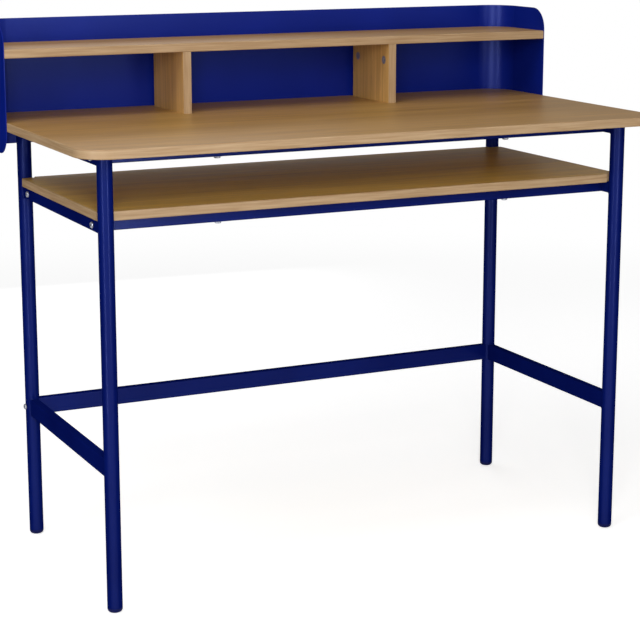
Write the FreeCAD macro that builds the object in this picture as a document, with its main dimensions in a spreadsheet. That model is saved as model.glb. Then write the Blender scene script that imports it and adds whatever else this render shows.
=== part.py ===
import FreeCAD, Part
import math
import os
import Sketcher

# Writing desk. A frame of round legs and rectangular tubes carries an oak-faced top and, under it, an
# open shelf. A bent steel sheet wraps the back of the top and holds a raised shelf on two dividers.
# X runs across the desk, Y from the sitter to the back and Z up. The origin is on the floor, under the
# middle of the whole desk.

# Driving sizes in millimetres.
SIZES = {
    # Boards
    "desk_height": 760.0,           # floor to the top of the desktop
    "desk_width": 1060.0,
    "desk_depth": 555.0,
    "board_thickness": 15.0,        # every board is cut from the same stock
    "corner_radius": 50.0,          # front corners of the desktop
    "arris": 1.0,                   # eased edge of the edge band
    "shelf_depth": 157.0,           # raised shelf, front edge to back edge
    "cubby_height": 108.0,          # clear height between desktop and raised shelf
    "divider_depth": 145.0,
    "side_cubby_width": 319.5,      # clear width between a divider and the desktop's end
    "lower_gap": 91.0,              # clear height between lower shelf and desktop
    "shelf_overhang": 10.0,         # lower shelf's ends past the legs' middles
    "shelf_edge_inset": 5.5,        # legs' middles to the lower shelf's front and back edges
    "notch_gap": 3.0,               # room around each leg in the lower shelf's corners
    "notch_round": 3.0,
    # Bent back panel
    "panel_sheet": 1.5,
    "panel_height": 220.0,
    "panel_drop": 40.0,             # reach of the panel below the desktop
    "panel_bend": 50.0,             # inside radius of the two bends
    "wing_corner": 40.0,            # rounded front corners of the two wings
    "panel_fit": 0.3,               # gap between the sheet and the boards' edges
    # Legs and feet
    "leg_diameter": 25.0,
    "leg_wall": 1.5,
    "leg_side_inset": 55.0,         # desktop's ends to the legs' middles
    "leg_front_inset": 65.0,        # desktop's front edge to the front legs' middles
    "leg_rear_inset": 67.0,         # desktop's back edge to the rear legs' middles
    "foot_height": 8.0,             # plastic seen below the tube
    "foot_round": 6.0,
    "foot_stem": 18.0,              # plug inside the tube
    "stem_fit": 0.1,
    # Rectangular tubes
    "rail_width": 15.0,
    "rail_height": 20.0,
    "stretcher_height": 30.0,
    "stretcher_rise": 224.0,        # floor to the underside of the low stretchers
    "tube_wall": 1.2,
    "tube_round": 1.5,
    "rail_inset": 41.0,             # leg middle to the middle of the nearest cross rail
    "weld_gap": 0.1,                # gap of a welded seat
    # Frame bolts and the nut blocks welded into the tube ends
    "bolt_diameter": 6.0,
    "bolt_head_diameter": 10.5,
    "bolt_head_height": 3.4,
    "bolt_land_diameter": 6.4,      # flat on top of the head
    "bolt_socket": 4.0,             # hexagon across the flats
    "bolt_tail": 3.0,               # thread that stands out of the nut block
    "nut_length": 8.0,
    "nut_set_back": 3.0,            # nut block behind the stretcher's hollow-cut end
    "hole_gap": 0.25,               # radial room of a clearance hole
    "thread_gap": 0.05,             # radial room of a threaded or pilot hole
    # Wood screws, with low heads on the panel and larger ones under the cross rails
    "screw_diameter": 4.5,
    "screw_head_diameter": 8.5,
    "screw_head_height": 2.0,
    "screw_land_diameter": 5.2,
    "screw_socket": 3.0,
    "rail_screw_head_diameter": 11.5,
    "rail_screw_head_height": 3.2,
    "rail_screw_land_diameter": 6.8,
    "rail_screw_socket": 4.0,
    "socket_depth": 1.6,
    "screw_bite": 10.0,             # into the face of a board
    "edge_bite": 22.0,              # into the edge of a board
    "rail_screw_inset": 260.0,      # desktop's ends to the cross rails' screws
    "wing_screw_inset": 44.0,       # wing's front edge to its screws
    "rear_screw_inset": 250.0,      # desktop's ends to the screws in its back edge
    # Knock-down fittings of the dividers
    "cam_diameter": 15.0,
    "cam_depth": 12.0,
    "cam_drop": 30.0,               # raised shelf's underside to the cams' middles
    "cam_inset": 20.0,              # divider's front and back edges to the cams' middles
    "cam_fit": 0.1,
    "cam_slot_width": 2.0,
    "cam_slot_length": 9.0,
    "cam_slot_depth": 2.0,
    "pin_diameter": 6.0,
    "pin_thread_diameter": 5.0,
    "pin_thread_length": 10.0,
    "pin_bore_diameter": 8.0,
    "pin_tip": 3.0,                 # pin past the cam's middle
    "dowel_diameter": 8.0,
    "dowel_length": 30.0,
    "dowel_bite": 10.0,             # dowel in the desktop
    "dowel_room": 0.5,              # spare depth of a blind hole
}

# Sizes that follow from the driving ones.
FOLLOWING = {
    # Levels
    "half_board": "board_thickness / 2",
    "desk_underside": "desk_height - board_thickness",
    "upper_shelf_z": "desk_height + cubby_height",
    "lower_shelf_z": "desk_underside - lower_gap - board_thickness",
    "panel_z": "desk_underside - panel_drop",
    "top_rail_z": "desk_underside - rail_height",
    "shelf_rail_z": "lower_shelf_z - rail_height",
    "board_mid_z": "desk_underside + half_board + half_board_rise",
    "half_board_rise": "(cubby_height + board_thickness) / 2",
    "top_bolt_z": "top_rail_z + half_rail_height",
    "shelf_bolt_z": "shelf_rail_z + half_rail_height",
    "stretcher_bolt_z": "stretcher_rise + half_stretcher_height",
    # Places across the desk
    "half_desk_width": "desk_width / 2",
    "panel_inner_x": "half_desk_width + panel_fit",
    "panel_outer_x": "panel_inner_x + panel_sheet",
    "leg_x": "half_desk_width - leg_side_inset",
    "leg_spread_x": "2 * leg_x",
    "rail_outer_x": "leg_x + half_rail_width",
    "rail_inner_x": "leg_x - half_rail_width",
    "leg_outer_x": "leg_x + leg_radius",
    "divider_x": "half_desk_width - side_cubby_width - half_board",
    "cam_face_x": "divider_x - half_board",
    "rail_screw_x": "half_desk_width - rail_screw_inset",
    "rear_screw_x": "half_desk_width - rear_screw_inset",
    # Places from front to back
    "front_y": "-(desk_depth + panel_fit + panel_sheet + screw_head_height) / 2",
    "desk_rear_y": "front_y + desk_depth",
    "panel_inner_y": "desk_rear_y + panel_fit",
    "panel_outer_y": "panel_inner_y + panel_sheet",
    "shelf_front_y": "desk_rear_y - shelf_depth",
    "wing_screw_y": "shelf_front_y + wing_screw_inset",
    "leg_front_y": "front_y + leg_front_inset",
    "leg_rear_y": "desk_rear_y - leg_rear_inset",
    "leg_spread_y": "leg_rear_y - leg_front_y",
    "half_leg_y": "leg_spread_y / 2",
    "leg_mid_y": "leg_front_y + half_leg_y",
    "half_rail_spread": "half_leg_y - rail_inset",
    "rail_front_y": "leg_mid_y - half_rail_spread",
    "rail_rear_y": "leg_mid_y + half_rail_spread",
    "half_divider_depth": "divider_depth / 2",
    "divider_y": "shelf_front_y + half_divider_depth",
    "half_cam_spread": "half_divider_depth - cam_inset",
    "cam_front_y": "divider_y - half_cam_spread",
    "cam_rear_y": "divider_y + half_cam_spread",
    # Boards
    "rear_corner": "panel_bend - panel_fit",
    "half_lower_width": "leg_x + shelf_overhang",
    "lower_front_y": "leg_front_y + shelf_edge_inset",
    "lower_rear_y": "leg_rear_y - shelf_edge_inset",
    "notch_x": "leg_x - leg_radius - notch_gap",
    "notch_front_y": "leg_front_y + leg_radius + notch_gap",
    "notch_rear_y": "leg_rear_y - leg_radius - notch_gap",
    "bend_outer": "panel_bend + panel_sheet",
    "low_hole_z": "panel_drop + half_board",
    "high_hole_z": "low_hole_z + 2 * half_board_rise",
    # Round parts
    "leg_radius": "leg_diameter / 2",
    "leg_bore": "leg_radius - leg_wall",
    "leg_length": "desk_underside - foot_height",
    "leg_hole_z": "stretcher_bolt_z - foot_height",
    "stem_radius": "leg_bore - stem_fit",
    "foot_sole": "leg_radius - foot_round",
    "foot_turn_radius": "foot_sole + foot_round * sqrt(0.5)",
    "foot_turn_height": "foot_round - foot_round * sqrt(0.5)",
    "foot_top": "foot_height + foot_stem",
    "saddle_radius": "leg_radius + weld_gap",
    # Tubes and their nut blocks
    "half_rail_width": "rail_width / 2",
    "half_rail_height": "rail_height / 2",
    "half_stretcher_height": "stretcher_height / 2",
    "half_tube_bore": "half_rail_width - tube_wall",
    "rail_bore_top": "rail_height - tube_wall",
    "stretcher_bore_top": "stretcher_height - tube_wall",
    "half_nut_width": "half_tube_bore - weld_gap",
    "half_rail_nut": "half_rail_height - tube_wall - weld_gap",
    "half_stretcher_nut": "half_stretcher_height - tube_wall - weld_gap",
    "cross_rail_length": "2 * rail_inner_x",
    "rail_nut_x": "rail_inner_x - nut_length",
    "stretcher_nut_x": "leg_x - saddle_radius - nut_set_back - nut_length",
    # Fasteners and their holes
    "bolt_radius": "bolt_diameter / 2",
    "bolt_head_radius": "bolt_head_diameter / 2",
    "bolt_land": "bolt_land_diameter / 2",
    "bolt_hole": "bolt_radius + hole_gap",
    "nut_bore": "bolt_radius + thread_gap",
    "frame_bolt_length": "rail_width + nut_length + bolt_tail",
    "stretcher_bolt_length": "leg_outer_x - stretcher_nut_x + bolt_tail",
    "bolt_socket_tip": "bolt_socket / sqrt(3)",
    "screw_radius": "screw_diameter / 2",
    "screw_head_radius": "screw_head_diameter / 2",
    "screw_land": "screw_land_diameter / 2",
    "screw_hole": "screw_radius + hole_gap",
    "pilot_bore": "screw_radius + thread_gap",
    "face_pilot": "screw_bite + dowel_room",
    "edge_pilot": "edge_bite + dowel_room",
    "face_screw_length": "rail_height + screw_bite",
    "edge_screw_length": "panel_sheet + panel_fit + edge_bite",
    "screw_socket_tip": "screw_socket / sqrt(3)",
    "rail_screw_radius": "screw_radius",
    "rail_screw_head_radius": "rail_screw_head_diameter / 2",
    "rail_screw_land": "rail_screw_land_diameter / 2",
    "rail_screw_socket_tip": "rail_screw_socket / sqrt(3)",
    # Knock-down fittings
    "cam_radius": "cam_diameter / 2",
    "cam_bore": "cam_radius + cam_fit",
    "cam_pocket": "cam_depth + cam_fit",
    "cam_z": "upper_shelf_z - cam_drop",
    "cam_level": "cubby_height - cam_drop",
    "half_slot_width": "cam_slot_width / 2",
    "half_slot_length": "cam_slot_length / 2",
    "pin_radius": "pin_diameter / 2",
    "pin_thread": "pin_thread_diameter / 2",
    "pin_foot": "cam_drop + pin_tip",
    "pin_bore": "pin_bore_diameter / 2",
    "pin_pilot": "pin_thread + thread_gap",
    "pin_pilot_depth": "pin_thread_length + dowel_room",
    "cam_cut": "pin_radius + hole_gap",
    "cam_cut_depth": "cam_radius + pin_tip + hole_gap",
    "dowel_radius": "dowel_diameter / 2",
    "dowel_bore": "dowel_radius + thread_gap",
    "dowel_rise": "dowel_length - dowel_bite",
    "dowel_divider_hole": "dowel_rise + dowel_room",
    "dowel_desk_hole": "dowel_bite + dowel_room",
    "dowel_z": "desk_height - dowel_bite",
}

doc = FreeCAD.newDocument("WritingDesk")
sheet = doc.addObject("Spreadsheet::Sheet", "Sizes")
row = 0
for name, size in SIZES.items():
    row += 1
    sheet.set(f"A{row}", name)
    sheet.set(f"B{row}", str(size))
    sheet.setAlias(f"B{row}", name)
for name, formula in FOLLOWING.items():
    row += 1
    sheet.set(f"A{row}", name)
    sheet.setAlias(f"B{row}", name)
row = len(SIZES)
for formula in FOLLOWING.values():
    row += 1
    sheet.set(f"B{row}", "=" + formula)
doc.recompute()

bodies = []
SMALL = 1e-4


# Sheet cells: a leading minus sign gives the same size on the other side of the origin.
def cell(name):
    sign = "-" if name.startswith("-") else ""
    return f"{sign}Sizes.{name.lstrip('-')}"


def number(name):
    if name is None:
        return 0.0
    sign = -1.0 if name.startswith("-") else 1.0
    return sign * float(sheet.get(name.lstrip("-")))


# Bodies and their places.
def new_body(label, x=None, y=None, z=None, axis=None, turn=0.0):
    body = doc.addObject("PartDesign::Body", label)
    body.Label = label
    direction = axis if axis else FreeCAD.Vector(0, 0, 1)
    body.Placement = FreeCAD.Placement(FreeCAD.Vector(), FreeCAD.Rotation(direction, turn))
    for letter, name in (("x", x), ("y", y), ("z", z)):
        if name:
            body.setExpression(f"Placement.Base.{letter}", cell(name))
    bodies.append(body)
    return body


def origin_plane(body, role):
    return next(item for item in body.Origin.OriginFeatures if item.Role == role)


# Sketches: x, y and z move the sketch along its own axes.
def new_sketch(body, name, role, x=None, y=None, z=None):
    sketch = body.newObject("Sketcher::SketchObject", name)
    sketch.AttachmentSupport = (origin_plane(body, role), [""])
    sketch.MapMode = "FlatFace"
    for letter, size in (("x", x), ("y", y), ("z", z)):
        if size:
            sketch.setExpression(f"AttachmentOffset.Base.{letter}", cell(size))
    return sketch


def fix_size(sketch, kind, place, name):
    index = sketch.addConstraint(Sketcher.Constraint(kind, *place, number(name)))
    sketch.setExpression(f"Constraints[{index}]", cell(name))


def fix_place(sketch, shape, point, x=None, y=None, across=True, along=True):
    vertical_axis, horizontal_axis = -2, -1
    for wanted, kind, name, axis in ((across, "DistanceX", x, vertical_axis),
                                     (along, "DistanceY", y, horizontal_axis)):
        if wanted and name:
            fix_size(sketch, kind, (-1, 1, shape, point), name)
        elif wanted:
            sketch.addConstraint(Sketcher.Constraint("PointOnObject", shape, point, axis))


def add_circle(sketch, radius, x=None, y=None):
    centre = FreeCAD.Vector(number(x), number(y), 0)
    circle = sketch.addGeometry(Part.Circle(centre, FreeCAD.Vector(0, 0, 1), number(radius)), False)
    fix_place(sketch, circle, 3, x, y)
    fix_size(sketch, "Radius", (circle,), radius)


# A closed outline. Each corner is (x, y) or, between an upright and a level line, (x, y, radius).
def add_outline(sketch, corners):
    points = [FreeCAD.Vector(number(corner[0]), number(corner[1]), 0) for corner in corners]
    rounds = [number(corner[2]) if len(corner) == 3 else 0.0 for corner in corners]
    count = len(corners)
    ahead = [(points[(i + 1) % count] - points[i]).normalize() for i in range(count)]
    level = [abs(way.y) < SMALL for way in ahead]
    upright = [abs(way.x) < SMALL for way in ahead]
    lines = []
    for i in range(count):
        start = points[i] + ahead[i] * rounds[i]
        end = points[(i + 1) % count] - ahead[i] * rounds[(i + 1) % count]
        line = sketch.addGeometry(Part.LineSegment(start, end), False)
        if level[i] or upright[i]:
            sketch.addConstraint(Sketcher.Constraint("Horizontal" if level[i] else "Vertical", line))
        fix_place(sketch, line, 1, corners[i][0], corners[i][1], across=upright[i], along=level[i])
        lines.append(line)
    for i in range(count):
        before, after = lines[i - 1], lines[i]
        if rounds[i] == 0.0:
            sketch.addConstraint(Sketcher.Constraint("Coincident", before, 2, after, 1))
            placed_across = upright[i - 1] or upright[i]
            placed_along = level[i - 1] or level[i]
            fix_place(sketch, after, 1, corners[i][0], corners[i][1], not placed_across, not placed_along)
            continue
        centre = points[i] - ahead[i - 1] * rounds[i] + ahead[i] * rounds[i]
        circle = Part.Circle(centre, FreeCAD.Vector(0, 0, 1), rounds[i])
        arrive = points[i] - ahead[i - 1] * rounds[i] - centre
        leave = points[i] + ahead[i] * rounds[i] - centre
        left_turn = ahead[i - 1].cross(ahead[i]).z > 0
        first, last = (arrive, leave) if left_turn else (leave, arrive)
        angles = [math.atan2(spoke.y, spoke.x) for spoke in (first, last)]
        arc = sketch.addGeometry(Part.ArcOfCircle(circle, angles[0], angles[1]), False)
        sketch.addConstraint(Sketcher.Constraint("Tangent", before, 2, arc, 1 if left_turn else 2))
        sketch.addConstraint(Sketcher.Constraint("Tangent", arc, 2 if left_turn else 1, after, 1))
        fix_size(sketch, "Radius", (arc,), corners[i][2])


def add_rectangle(sketch, left, right, low, high, radius=None):
    ends = (radius,) if radius else ()
    add_outline(sketch, [(left, low) + ends, (right, low) + ends, (right, high) + ends, (left, high) + ends])


# A hexagon about the sketch's origin, with one corner on its upright axis.
def add_hexagon(sketch, tip_radius):
    sides = 6
    reach = number(tip_radius)
    angles = [math.pi / 2 + 2 * math.pi * i / sides for i in range(sides)]
    tips = [FreeCAD.Vector(reach * math.cos(angle), reach * math.sin(angle), 0) for angle in angles]
    ring = sketch.addGeometry(Part.Circle(FreeCAD.Vector(), FreeCAD.Vector(0, 0, 1), reach), True)
    sketch.addConstraint(Sketcher.Constraint("Coincident", ring, 3, -1, 1))
    fix_size(sketch, "Radius", (ring,), tip_radius)
    lines = [sketch.addGeometry(Part.LineSegment(tips[i - 1], tips[i]), False) for i in range(sides)]
    for i in range(sides):
        sketch.addConstraint(Sketcher.Constraint("Coincident", lines[i - 1], 2, lines[i], 1))
        sketch.addConstraint(Sketcher.Constraint("PointOnObject", lines[i], 1, ring))
    for line in lines[1:]:
        sketch.addConstraint(Sketcher.Constraint("Equal", lines[0], line))
    sketch.addConstraint(Sketcher.Constraint("PointOnObject", lines[0], 2, -2))


# Features.
def pad(body, name, sketch, length, both_ways=False, backwards=False):
    feature = body.newObject("PartDesign::Pad", name)
    feature.Profile = sketch
    feature.setExpression("Length", cell(length))
    feature.SideType = "Symmetric" if both_ways else "One side"
    feature.Reversed = backwards
    doc.recompute()
    return feature


# A cut has to take something away, so the body's volume is compared.
def pocket(body, name, sketch, depth=None, both_ways=False, backwards=False):
    volume = body.Shape.Volume
    feature = body.newObject("PartDesign::Pocket", name)
    feature.Profile = sketch
    if depth:
        feature.setExpression("Length", cell(depth))
    else:
        feature.Type = "ThroughAll"
    feature.SideType = "Symmetric" if both_ways else "One side"
    feature.Reversed = backwards
    doc.recompute()
    if body.Shape.Volume >= volume:
        raise RuntimeError(f"{body.Label}: {name} cuts nothing")
    return feature


def revolve(body, name, sketch, axis):
    feature = body.newObject("PartDesign::Revolution", name)
    feature.Profile = sketch
    feature.ReferenceAxis = (sketch, [axis])
    feature.Angle = 360.0
    doc.recompute()
    return feature


# Fillets and chamfers on the edges that a test of their boxes picks out.
def ease_edges(body, name, base, wanted, kind, size_name, size):
    edges = [f"Edge{i}" for i, edge in enumerate(base.Shape.Edges, 1) if wanted(edge.BoundBox)]
    feature = body.newObject(f"PartDesign::{kind}", name)
    feature.Base = (base, edges)
    feature.setExpression(size_name, cell(size))
    doc.recompute()
    return feature


def mirror(body, name, features, roles):
    steps = [body.newObject("PartDesign::Mirrored", f"{name}{role[:2]}") for role in roles]
    for step, role in zip(steps, roles):
        step.MirrorPlane = (origin_plane(body, role), [""])
    if len(steps) == 1:
        feature = steps[0]
    else:
        feature = body.newObject("PartDesign::MultiTransform", name)
        feature.Transformations = steps
    feature.Originals = features
    body.Tip = feature
    doc.recompute()
    return feature


def is_level(box):
    return box.ZLength < SMALL


# Boards: melamine-faced chipboard with an eased edge band all round.
def board(label, z, corners):
    body = new_body(label, z=z)
    outline = new_sketch(body, "Outline", "XY_Plane")
    add_outline(outline, corners)
    slab = pad(body, "Slab", outline, "board_thickness")
    ease_edges(body, "EasedEdges", slab, is_level, "Chamfer", "Size", "arris")
    return body


def rail_screw_pilots(body):
    sketch = new_sketch(body, "RailScrewPilots", "XY_Plane")
    for y in ("rail_front_y", "rail_rear_y"):
        add_circle(sketch, "pilot_bore", "rail_screw_x", y)
    cut = pocket(body, "RailScrewHoles", sketch, "face_pilot", backwards=True)
    mirror(body, "RailScrewPairs", [cut], ["YZ_Plane"])


# Pilot holes in the edges that the bent panel is screwed to.
def panel_screw_pilots(body):
    side = new_sketch(body, "SidePilots", "YZ_Plane", z="-half_desk_width")
    add_circle(side, "pilot_bore", "wing_screw_y", "half_board")
    cut = pocket(body, "SideHoles", side, "edge_pilot", backwards=True)
    mirror(body, "SidePairs", [cut], ["YZ_Plane"])
    rear = new_sketch(body, "RearPilots", "XZ_Plane", z="-desk_rear_y")
    add_circle(rear, "pilot_bore", "rear_screw_x", "half_board")
    cut = pocket(body, "RearHoles", rear, "edge_pilot", backwards=True)
    mirror(body, "RearPairs", [cut], ["YZ_Plane"])


desktop = board("desktop", "desk_underside", [
    ("-half_desk_width", "front_y", "corner_radius"), ("half_desk_width", "front_y", "corner_radius"),
    ("half_desk_width", "desk_rear_y", "rear_corner"), ("-half_desk_width", "desk_rear_y", "rear_corner")])
rail_screw_pilots(desktop)
panel_screw_pilots(desktop)
dowel_holes = new_sketch(desktop, "DowelHoles", "XY_Plane", z="board_thickness")
for cam_y in ("cam_front_y", "cam_rear_y"):
    add_circle(dowel_holes, "dowel_bore", "divider_x", cam_y)
dowel_cut = pocket(desktop, "DowelBores", dowel_holes, "dowel_desk_hole")
mirror(desktop, "DowelPairs", [dowel_cut], ["YZ_Plane"])

upper_shelf = board("upper_shelf", "upper_shelf_z", [
    ("-half_desk_width", "shelf_front_y"), ("half_desk_width", "shelf_front_y"),
    ("half_desk_width", "desk_rear_y", "rear_corner"), ("-half_desk_width", "desk_rear_y", "rear_corner")])
panel_screw_pilots(upper_shelf)
pin_holes = new_sketch(upper_shelf, "PinHoles", "XY_Plane")
for cam_y in ("cam_front_y", "cam_rear_y"):
    add_circle(pin_holes, "pin_pilot", "divider_x", cam_y)
pin_cut = pocket(upper_shelf, "PinBores", pin_holes, "pin_pilot_depth", backwards=True)
mirror(upper_shelf, "PinPairs", [pin_cut], ["YZ_Plane"])

# The lower shelf reaches past the legs at its ends, so its corners are notched round them.
lower_shelf = board("lower_shelf", "lower_shelf_z", [
    ("-notch_x", "lower_front_y"), ("notch_x", "lower_front_y"),
    ("notch_x", "notch_front_y", "notch_round"), ("half_lower_width", "notch_front_y"),
    ("half_lower_width", "notch_rear_y"), ("notch_x", "notch_rear_y", "notch_round"),
    ("notch_x", "lower_rear_y"), ("-notch_x", "lower_rear_y"),
    ("-notch_x", "notch_rear_y", "notch_round"), ("-half_lower_width", "notch_rear_y"),
    ("-half_lower_width", "notch_front_y"), ("-notch_x", "notch_front_y", "notch_round")])
rail_screw_pilots(lower_shelf)


# Dividers: the right one is the left one turned round, so both show their cams to the middle.
def divider(label, x, turn):
    body = new_body(label, x, "divider_y", "desk_height", turn=turn)
    outline = new_sketch(body, "Outline", "XY_Plane")
    add_rectangle(outline, "-half_board", "half_board", "-half_divider_depth", "half_divider_depth")
    pad(body, "Slab", outline, "cubby_height")
    cams = new_sketch(body, "CamSeats", "YZ_Plane", z="half_board")
    add_circle(cams, "cam_bore", "-half_cam_spread", "cam_level")
    cam_cut = pocket(body, "CamBores", cams, "cam_pocket")
    pins = new_sketch(body, "PinHoles", "XY_Plane", z="cubby_height")
    add_circle(pins, "pin_bore", None, "-half_cam_spread")
    pin_cut = pocket(body, "PinBores", pins, "pin_foot")
    dowels = new_sketch(body, "DowelHoles", "XY_Plane")
    add_circle(dowels, "dowel_bore", None, "-half_cam_spread")
    dowel_cut = pocket(body, "DowelBores", dowels, "dowel_divider_hole", backwards=True)
    mirror(body, "BackFittings", [cam_cut, pin_cut, dowel_cut], ["XZ_Plane"])


divider("left_divider", "-divider_x", 0.0)
divider("right_divider", "divider_x", 180.0)

# Back panel: one steel sheet bent round the back of the desktop, with two wings along its sides.
back_panel = new_body("back_panel", z="panel_z")
panel_plan = new_sketch(back_panel, "BentSheet", "XY_Plane")
add_outline(panel_plan, [
    ("-panel_outer_x", "shelf_front_y"), ("-panel_inner_x", "shelf_front_y"),
    ("-panel_inner_x", "panel_inner_y", "panel_bend"), ("panel_inner_x", "panel_inner_y", "panel_bend"),
    ("panel_inner_x", "shelf_front_y"), ("panel_outer_x", "shelf_front_y"),
    ("panel_outer_x", "panel_outer_y", "bend_outer"), ("-panel_outer_x", "panel_outer_y", "bend_outer")])
panel_wall = pad(back_panel, "Wall", panel_plan, "panel_height")
wing_front = number("shelf_front_y")


def is_wing_corner(box):
    return is_level(box) and box.YLength < SMALL and abs(box.YMin - wing_front) < SMALL


ease_edges(back_panel, "WingCorners", panel_wall, is_wing_corner, "Fillet", "Radius", "wing_corner")
wing_holes = new_sketch(back_panel, "WingHoles", "YZ_Plane")
rear_holes = new_sketch(back_panel, "RearHoles", "XZ_Plane")
for hole_z in ("low_hole_z", "high_hole_z"):
    add_circle(wing_holes, "screw_hole", "wing_screw_y", hole_z)
    for hole_x in ("-rear_screw_x", "rear_screw_x"):
        add_circle(rear_holes, "screw_hole", hole_x, hole_z)
pocket(back_panel, "WingScrewHoles", wing_holes, both_ways=True)
pocket(back_panel, "RearScrewHoles", rear_holes, both_ways=True)


# Legs: round tube, plugged by a moulded foot. The rear ones are drilled for the rear stretcher's bolts.
def leg(label, x, y, drilled):
    body = new_body(label, x, y, "foot_height")
    section = new_sketch(body, "Section", "XY_Plane")
    add_circle(section, "leg_radius")
    add_circle(section, "leg_bore")
    pad(body, "Tube", section, "leg_length")
    if drilled:
        hole = new_sketch(body, "BoltHole", "YZ_Plane")
        add_circle(hole, "bolt_hole", None, "leg_hole_z")
        pocket(body, "BoltBore", hole, both_ways=True)


def foot(label, x, y):
    body = new_body(label, x, y)
    profile = new_sketch(body, "Profile", "XZ_Plane")
    add_outline(profile, [
        (None, None), ("foot_sole", None), ("foot_turn_radius", "foot_turn_height"),
        ("leg_radius", "foot_round"), ("leg_radius", "foot_height"), ("stem_radius", "foot_height"),
        ("stem_radius", "foot_top"), (None, "foot_top")])
    revolve(body, "Plug", profile, "V_Axis")


for depth_name, leg_y in (("front", "leg_front_y"), ("rear", "leg_rear_y")):
    for side_name, leg_side in (("left", "-leg_x"), ("right", "leg_x")):
        leg(f"{depth_name}_{side_name}_leg", leg_side, leg_y, depth_name == "rear")
        foot(f"{depth_name}_{side_name}_foot", leg_side, leg_y)


# Rectangular tubes: drawn across their run and padded both ways from the middle.
def tube(label, role, x, y, z, height, bore_top, length):
    body = new_body(label, x, y, z)
    section = new_sketch(body, "Section", role)
    add_rectangle(section, "-half_rail_width", "half_rail_width", None, height, "tube_round")
    add_rectangle(section, "-half_tube_bore", "half_tube_bore", "tube_wall", bore_top)
    pad(body, "Tube", section, length, both_ways=True)
    return body


# Both ends are hollow-cut to the round of the legs they meet.
def hollow_cut(body, places):
    sketch = new_sketch(body, "LegRounds", "XY_Plane")
    for x, y in places:
        add_circle(sketch, "saddle_radius", x, y)
    pocket(body, "HollowCuts", sketch, backwards=True)


FRONT_AND_BACK = [(None, "-half_leg_y"), (None, "half_leg_y")]
LEFT_AND_RIGHT = [("-leg_x", None), ("leg_x", None)]

for side_name, leg_side in (("left", "-leg_x"), ("right", "leg_x")):
    for level_name, rail_z in (("top", "top_rail_z"), ("shelf", "shelf_rail_z")):
        rail = tube(f"{side_name}_{level_name}_rail", "XZ_Plane", leg_side, "leg_mid_y", rail_z,
                    "rail_height", "rail_bore_top", "leg_spread_y")
        hollow_cut(rail, FRONT_AND_BACK)
        bolt_holes = new_sketch(rail, "BoltHoles", "YZ_Plane")
        for rail_y in ("-half_rail_spread", "half_rail_spread"):
            add_circle(bolt_holes, "bolt_hole", rail_y, "half_rail_height")
        pocket(rail, "BoltBores", bolt_holes, both_ways=True)
    stretcher = tube(f"{side_name}_stretcher", "XZ_Plane", leg_side, "leg_mid_y", "stretcher_rise",
                     "stretcher_height", "stretcher_bore_top", "leg_spread_y")
    hollow_cut(stretcher, FRONT_AND_BACK)

for depth_name, rail_y in (("front", "rail_front_y"), ("rear", "rail_rear_y")):
    for level_name, rail_z in (("top", "top_rail_z"), ("shelf", "shelf_rail_z")):
        rail = tube(f"{depth_name}_{level_name}_rail", "YZ_Plane", None, rail_y, rail_z,
                    "rail_height", "rail_bore_top", "cross_rail_length")
        screw_holes = new_sketch(rail, "ScrewHoles", "XY_Plane")
        for screw_x in ("-rail_screw_x", "rail_screw_x"):
            add_circle(screw_holes, "screw_hole", screw_x, None)
        pocket(rail, "ScrewBores", screw_holes, backwards=True)

rear_stretcher = tube("rear_stretcher", "YZ_Plane", None, "leg_rear_y", "stretcher_rise",
                      "stretcher_height", "stretcher_bore_top", "leg_spread_x")
hollow_cut(rear_stretcher, LEFT_AND_RIGHT)


# Nut blocks: threaded steel blocks welded inside the ends of the bolted tubes.
def nut_blocks(label, x, y, z, group_y, half_height, mirrors):
    body = new_body(label, None, group_y, z)
    section = new_sketch(body, "Section", "YZ_Plane", x=y, z=x)
    add_rectangle(section, "-half_nut_width", "half_nut_width", f"-{half_height}", half_height)
    add_circle(section, "nut_bore")
    block = pad(body, "Block", section, "nut_length")
    mirror(body, "Blocks", [block], mirrors)


nut_blocks("top_rail_nuts", "rail_nut_x", "-half_rail_spread", "top_bolt_z", "leg_mid_y",
           "half_rail_nut", ["YZ_Plane", "XZ_Plane"])
nut_blocks("shelf_rail_nuts", "rail_nut_x", "-half_rail_spread", "shelf_bolt_z", "leg_mid_y",
           "half_rail_nut", ["YZ_Plane", "XZ_Plane"])
nut_blocks("stretcher_nuts", "stretcher_nut_x", None, "stretcher_bolt_z", "leg_rear_y",
           "half_stretcher_nut", ["YZ_Plane"])


# Domed fasteners with a hexagon socket, driven along their body's own +X. The first one stands at
# (x, y, z) in that body and the rest are its mirror images.
def fasteners(body, kind, length, x, y, z, mirrors):
    across = y.lstrip("-") if y else None
    profile = new_sketch(body, "Profile", "XZ_Plane", x=x, y=z, z=across)
    head_top = f"-{kind}_head_height"
    add_outline(profile, [
        (head_top, None), (length, None), (length, f"{kind}_radius"), (None, f"{kind}_radius"),
        (None, f"{kind}_head_radius"), (head_top, f"{kind}_land")])
    turned = revolve(body, "Turned", profile, "H_Axis")
    socket = new_sketch(body, "Socket", "YZ_Plane", x=y, y=z)
    top = f"{cell(x)} - Sizes.{kind}_head_height" if x else cell(head_top)
    socket.setExpression("AttachmentOffset.Base.z", top)
    add_hexagon(socket, f"{kind}_socket_tip")
    recess = pocket(body, "Recess", socket, "socket_depth", backwards=True)
    mirror(body, "Copies", [turned, recess], mirrors)


UP = (FreeCAD.Vector(0, 1, 0), -90.0)
FORWARD = (FreeCAD.Vector(0, 0, 1), -90.0)
FOUR_WAYS = ["YZ_Plane", "XZ_Plane"]

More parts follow.
